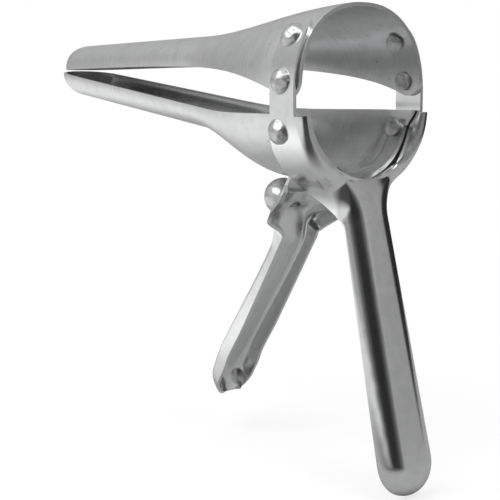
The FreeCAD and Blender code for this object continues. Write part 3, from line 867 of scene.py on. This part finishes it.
paint(handle, "polished_steel")
paint(lever, "worn_polish")
for piece in (upper_blade, lower_blade, tongue):
    paint(piece, "satin_steel")
for piece in rivets + [stud]:
    paint(piece, "rivet_steel")
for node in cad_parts.values():
    paint(node, "rivet_steel")
print("finishes", sorted(FINISHES))

# %% [markdown]
# ## Studio
# Polished steel has no colour of its own: it shows the room. A photographer surrounds it with
# white and black cards, so the scene does the same. The cards are seen only in reflections,
# and each one has a place, given by its direction from the object, and a brightness.

# %% Set up the room
CENTRE = Vector((-0.03, 0, -0.03))
FLOOR_HALF = 3.0
FLOOR_GAP = 0.0004
# Directions of the painted light and shade in the floor's colour: brighter towards -X and -Y, darker
# towards the camera.
PAINTED_LIGHT_WAY = (-0.45, -0.89, 0)
PAINTED_SHADE_WAY = (0.5, -0.87, 0)
# Centre of a painted pool of light on the floor, under the handle's foot.
PAINTED_POOL_SPOT = (0.030, 0.010, 0)
PAPER_WHITE = 0.72
ROOM_GRAY = 0.38
ROOM_LIFT = 0.20
ROOM_LIGHT = 0.75


def measured(tree, place, operation, other):
    """The dot product with another vector, or the distance to a point."""
    result = add_node(tree, "ShaderNodeVectorMath", {"operation": operation}, "Value")
    plug(tree, result.socket.node.inputs[0], place)
    plug(tree, result.socket.node.inputs[1], other)
    return result


def board_mesh(name, width, height, level=0):
    """A flat rectangle about its own origin."""
    mesh = bpy.data.meshes.new(name)
    mesh.from_pydata([(x * width / 2, y * height / 2, level)
                      for x, y in ((-1, -1), (1, -1), (1, 1), (-1, 1))], [], [(0, 1, 2, 3)])
    return mesh


def stage_floor(level):
    """A wide pale floor just under the object, whose colour in reflections carries painted light and
    shade.
    """
    mesh = board_mesh("floor", 2 * FLOOR_HALF, 2 * FLOOR_HALF, level)
    floor = placed("floor", mesh)
    material, tree, shader = new_material("floor_paper")
    shader.inputs["Metallic"].default_value = 0.0
    shader.inputs["Roughness"].default_value = 0.9
    seen = add_node(tree, "ShaderNodeLightPath", output=CAMERA_RAY)
    place = add_node(tree, "ShaderNodeTexCoord", output="Object")
    # Painted light: the floor's colour grows brighter 6 to 15 cm out towards -X and -Y, so the steel
    # reflects a lighter floor there.
    behind = measured(tree, place, "DOT_PRODUCT", PAINTED_LIGHT_WAY).over(0.06, 0.15)
    # Painted shade: the floor's colour grows darker 3 to 9 cm out towards the camera, so the steel
    # reflects a darker floor in front.
    painted_shade_ahead = measured(tree, place, "DOT_PRODUCT", PAINTED_SHADE_WAY).over(0.03, 0.09)
    # Painted pool of light under the handle's foot, which shows as highlights on the handle's end.
    foot = 1 - measured(tree, place, "DISTANCE", PAINTED_POOL_SPOT).over(0.018, 0.036)
    # The floor's own gray plus the painted light and shade. The camera sees the white paper mix below,
    # so these show only in reflections and bounced light.
    floor_gray_and_painted_light = 0.36 + behind * 0.55 + foot * 0.60 - painted_shade_ahead * 0.33
    plug(tree, shader.inputs["Base Color"], gray(tree, floor_gray_and_painted_light))
    paper = add_node(tree, "ShaderNodeBsdfDiffuse", Color=(0.9, 0.9, 0.9, 1))
    white = add_node(tree, "ShaderNodeEmission", Color=(1, 1, 1, 1), Strength=1.0)
    away = add_node(tree, "ShaderNodeVectorMath", {"operation": "LENGTH"}, "Value", Vector=place)
    far = away.over(0.10, 0.40)
    lit = mix_shaders(tree, PAPER_WHITE + far * (1 - PAPER_WHITE), paper, white)
    whole = mix_shaders(tree, seen, Wire(tree, shader.outputs[0]), lit)
    plug(tree, tree.nodes["Material Output"].inputs["Surface"], whole)
    mesh.materials.append(material)


def facing(azimuth, elevation, distance, front):
    """Stands a card or a lamp in its direction; front is 1 or -1, for its own Z outwards or in."""
    a, e = math.radians(azimuth), math.radians(elevation)
    away = Vector((math.cos(e) * math.cos(a), math.cos(e) * math.sin(a), math.sin(e)))
    turned = (away * front).to_track_quat("Z", "Y").to_matrix().to_4x4()
    return Matrix.Translation(CENTRE + away * distance) @ turned


def card(name, azimuth, elevation, distance, width, height, brightness, softness):
    """A flat soft-edged card that faces the object and is seen only in its reflections."""
    mesh = board_mesh(name, width, height)
    board = placed(name, mesh)
    board.matrix_world = facing(azimuth, elevation, distance, -1)
    material, tree, _shader = new_material(name)
    place = add_node(tree, "ShaderNodeTexCoord", output="Object")
    spread = [add_node(tree, "ShaderNodeSeparateXYZ", output=axis, Vector=place) * (2 / span)
              for axis, span in (("X", width), ("Y", height))]
    fade = [(1 - part * part).over(0, softness) for part in spread]
    glow = add_node(tree, "ShaderNodeEmission", Color=(brightness,) * 3 + (1,), Strength=1.0)
    clear = add_node(tree, "ShaderNodeBsdfTransparent")
    soft = mix_shaders(tree, fade[0] * fade[1], clear, glow)
    plug(tree, tree.nodes["Material Output"].inputs["Surface"], soft)
    mesh.materials.append(material)
    board.visible_camera = False
    board.visible_diffuse = False
    board.visible_shadow = False
    board.visible_transmission = False


low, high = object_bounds()
stage_floor(low[2] - FLOOR_GAP)
# name, azimuth and elevation in degrees, distance, width, height, brightness, softness
CARDS = [
    ("card_far_black", 98, 0, 0.55, 1.40, 0.70, 0.02, 0.4),
    ("card_camera_black", -24, 4, 0.60, 1.50, 1.00, 0.02, 0.95),
    ("card_near_white", -135, 3, 0.30, 0.28, 0.24, 0.80, 0.9),
]
for settings in CARDS:
    card(*settings)


def light(name, azimuth, elevation, distance, size, watts):
    """A square soft box that looks at the object."""
    data = bpy.data.lights.new(name, "AREA")
    data.size = size
    data.energy = watts
    lamp = placed(name, data)
    lamp.matrix_world = facing(azimuth, elevation, distance, 1)


# name, azimuth and elevation in degrees, distance, size, watts
LIGHTS = [
    ("key", -100, 50, 0.8, 0.7, 4.0),
    ("fill", 5, 55, 0.9, 0.4, 2.0),
]
for settings in LIGHTS:
    light(*settings)

world = bpy.data.worlds.new("studio")
bpy.context.scene.world = world
world.use_nodes = True
tree = world.node_tree
direction = add_node(tree, "ShaderNodeTexCoord", output="Generated")
height = add_node(tree, "ShaderNodeSeparateXYZ", output="Z", Vector=direction)
seen = add_node(tree, "ShaderNodeLightPath", output=CAMERA_RAY)
mirrored = add_node(tree, "ShaderNodeLightPath", output=GLOSSY_RAY)
room = ROOM_GRAY + height.over(0.10, 0.80) * ROOM_LIFT
level = seen + (1 - seen) * (mirrored * room + (1 - mirrored) * ROOM_LIGHT)
for node in tree.nodes:
    if node.type == "BACKGROUND":
        plug(tree, node.inputs["Color"], gray(tree, level))
        node.inputs["Strength"].default_value = 1.0
print("studio", len(CARDS), "cards")

# %% [markdown]
# ## Camera
# The photograph was taken from a little above the object's middle, from the front and the left,
# with a long lens. The place and the angles were found by matching points of the model to the picture.

# %% Place the camera
CAMERA_AT = (0.17447, -0.17940, 0.00211)
YAW, PITCH, ROLL = 0.679609, 0.159249, -0.011989
LENS = 72.0
SENSOR = 36.0
NEAREST = 0.01


def camera_axes(yaw, pitch, roll):
    """Right, up and forward of a camera that looks along -X at yaw 0, as one matrix."""
    forward = Vector((-math.cos(yaw) * math.cos(pitch), math.sin(yaw) * math.cos(pitch),
                      -math.sin(pitch)))
    right = Vector((math.sin(yaw), math.cos(yaw), 0))
    up = right.cross(forward)
    tilted_right = right * math.cos(roll) + up * math.sin(roll)
    tilted_up = up * math.cos(roll) - right * math.sin(roll)
    return Matrix((tilted_right, tilted_up, -forward)).transposed().to_4x4()


scene = bpy.context.scene
scene.view_settings.view_transform = "Standard"
camera = placed("camera", bpy.data.cameras.new("camera"))
camera.data.lens = LENS
camera.data.sensor_width = SENSOR
camera.data.clip_start = NEAREST
camera.matrix_world = Matrix.Translation(CAMERA_AT) @ camera_axes(YAW, PITCH, ROLL)
scene.camera = camera
print("camera at", CAMERA_AT)
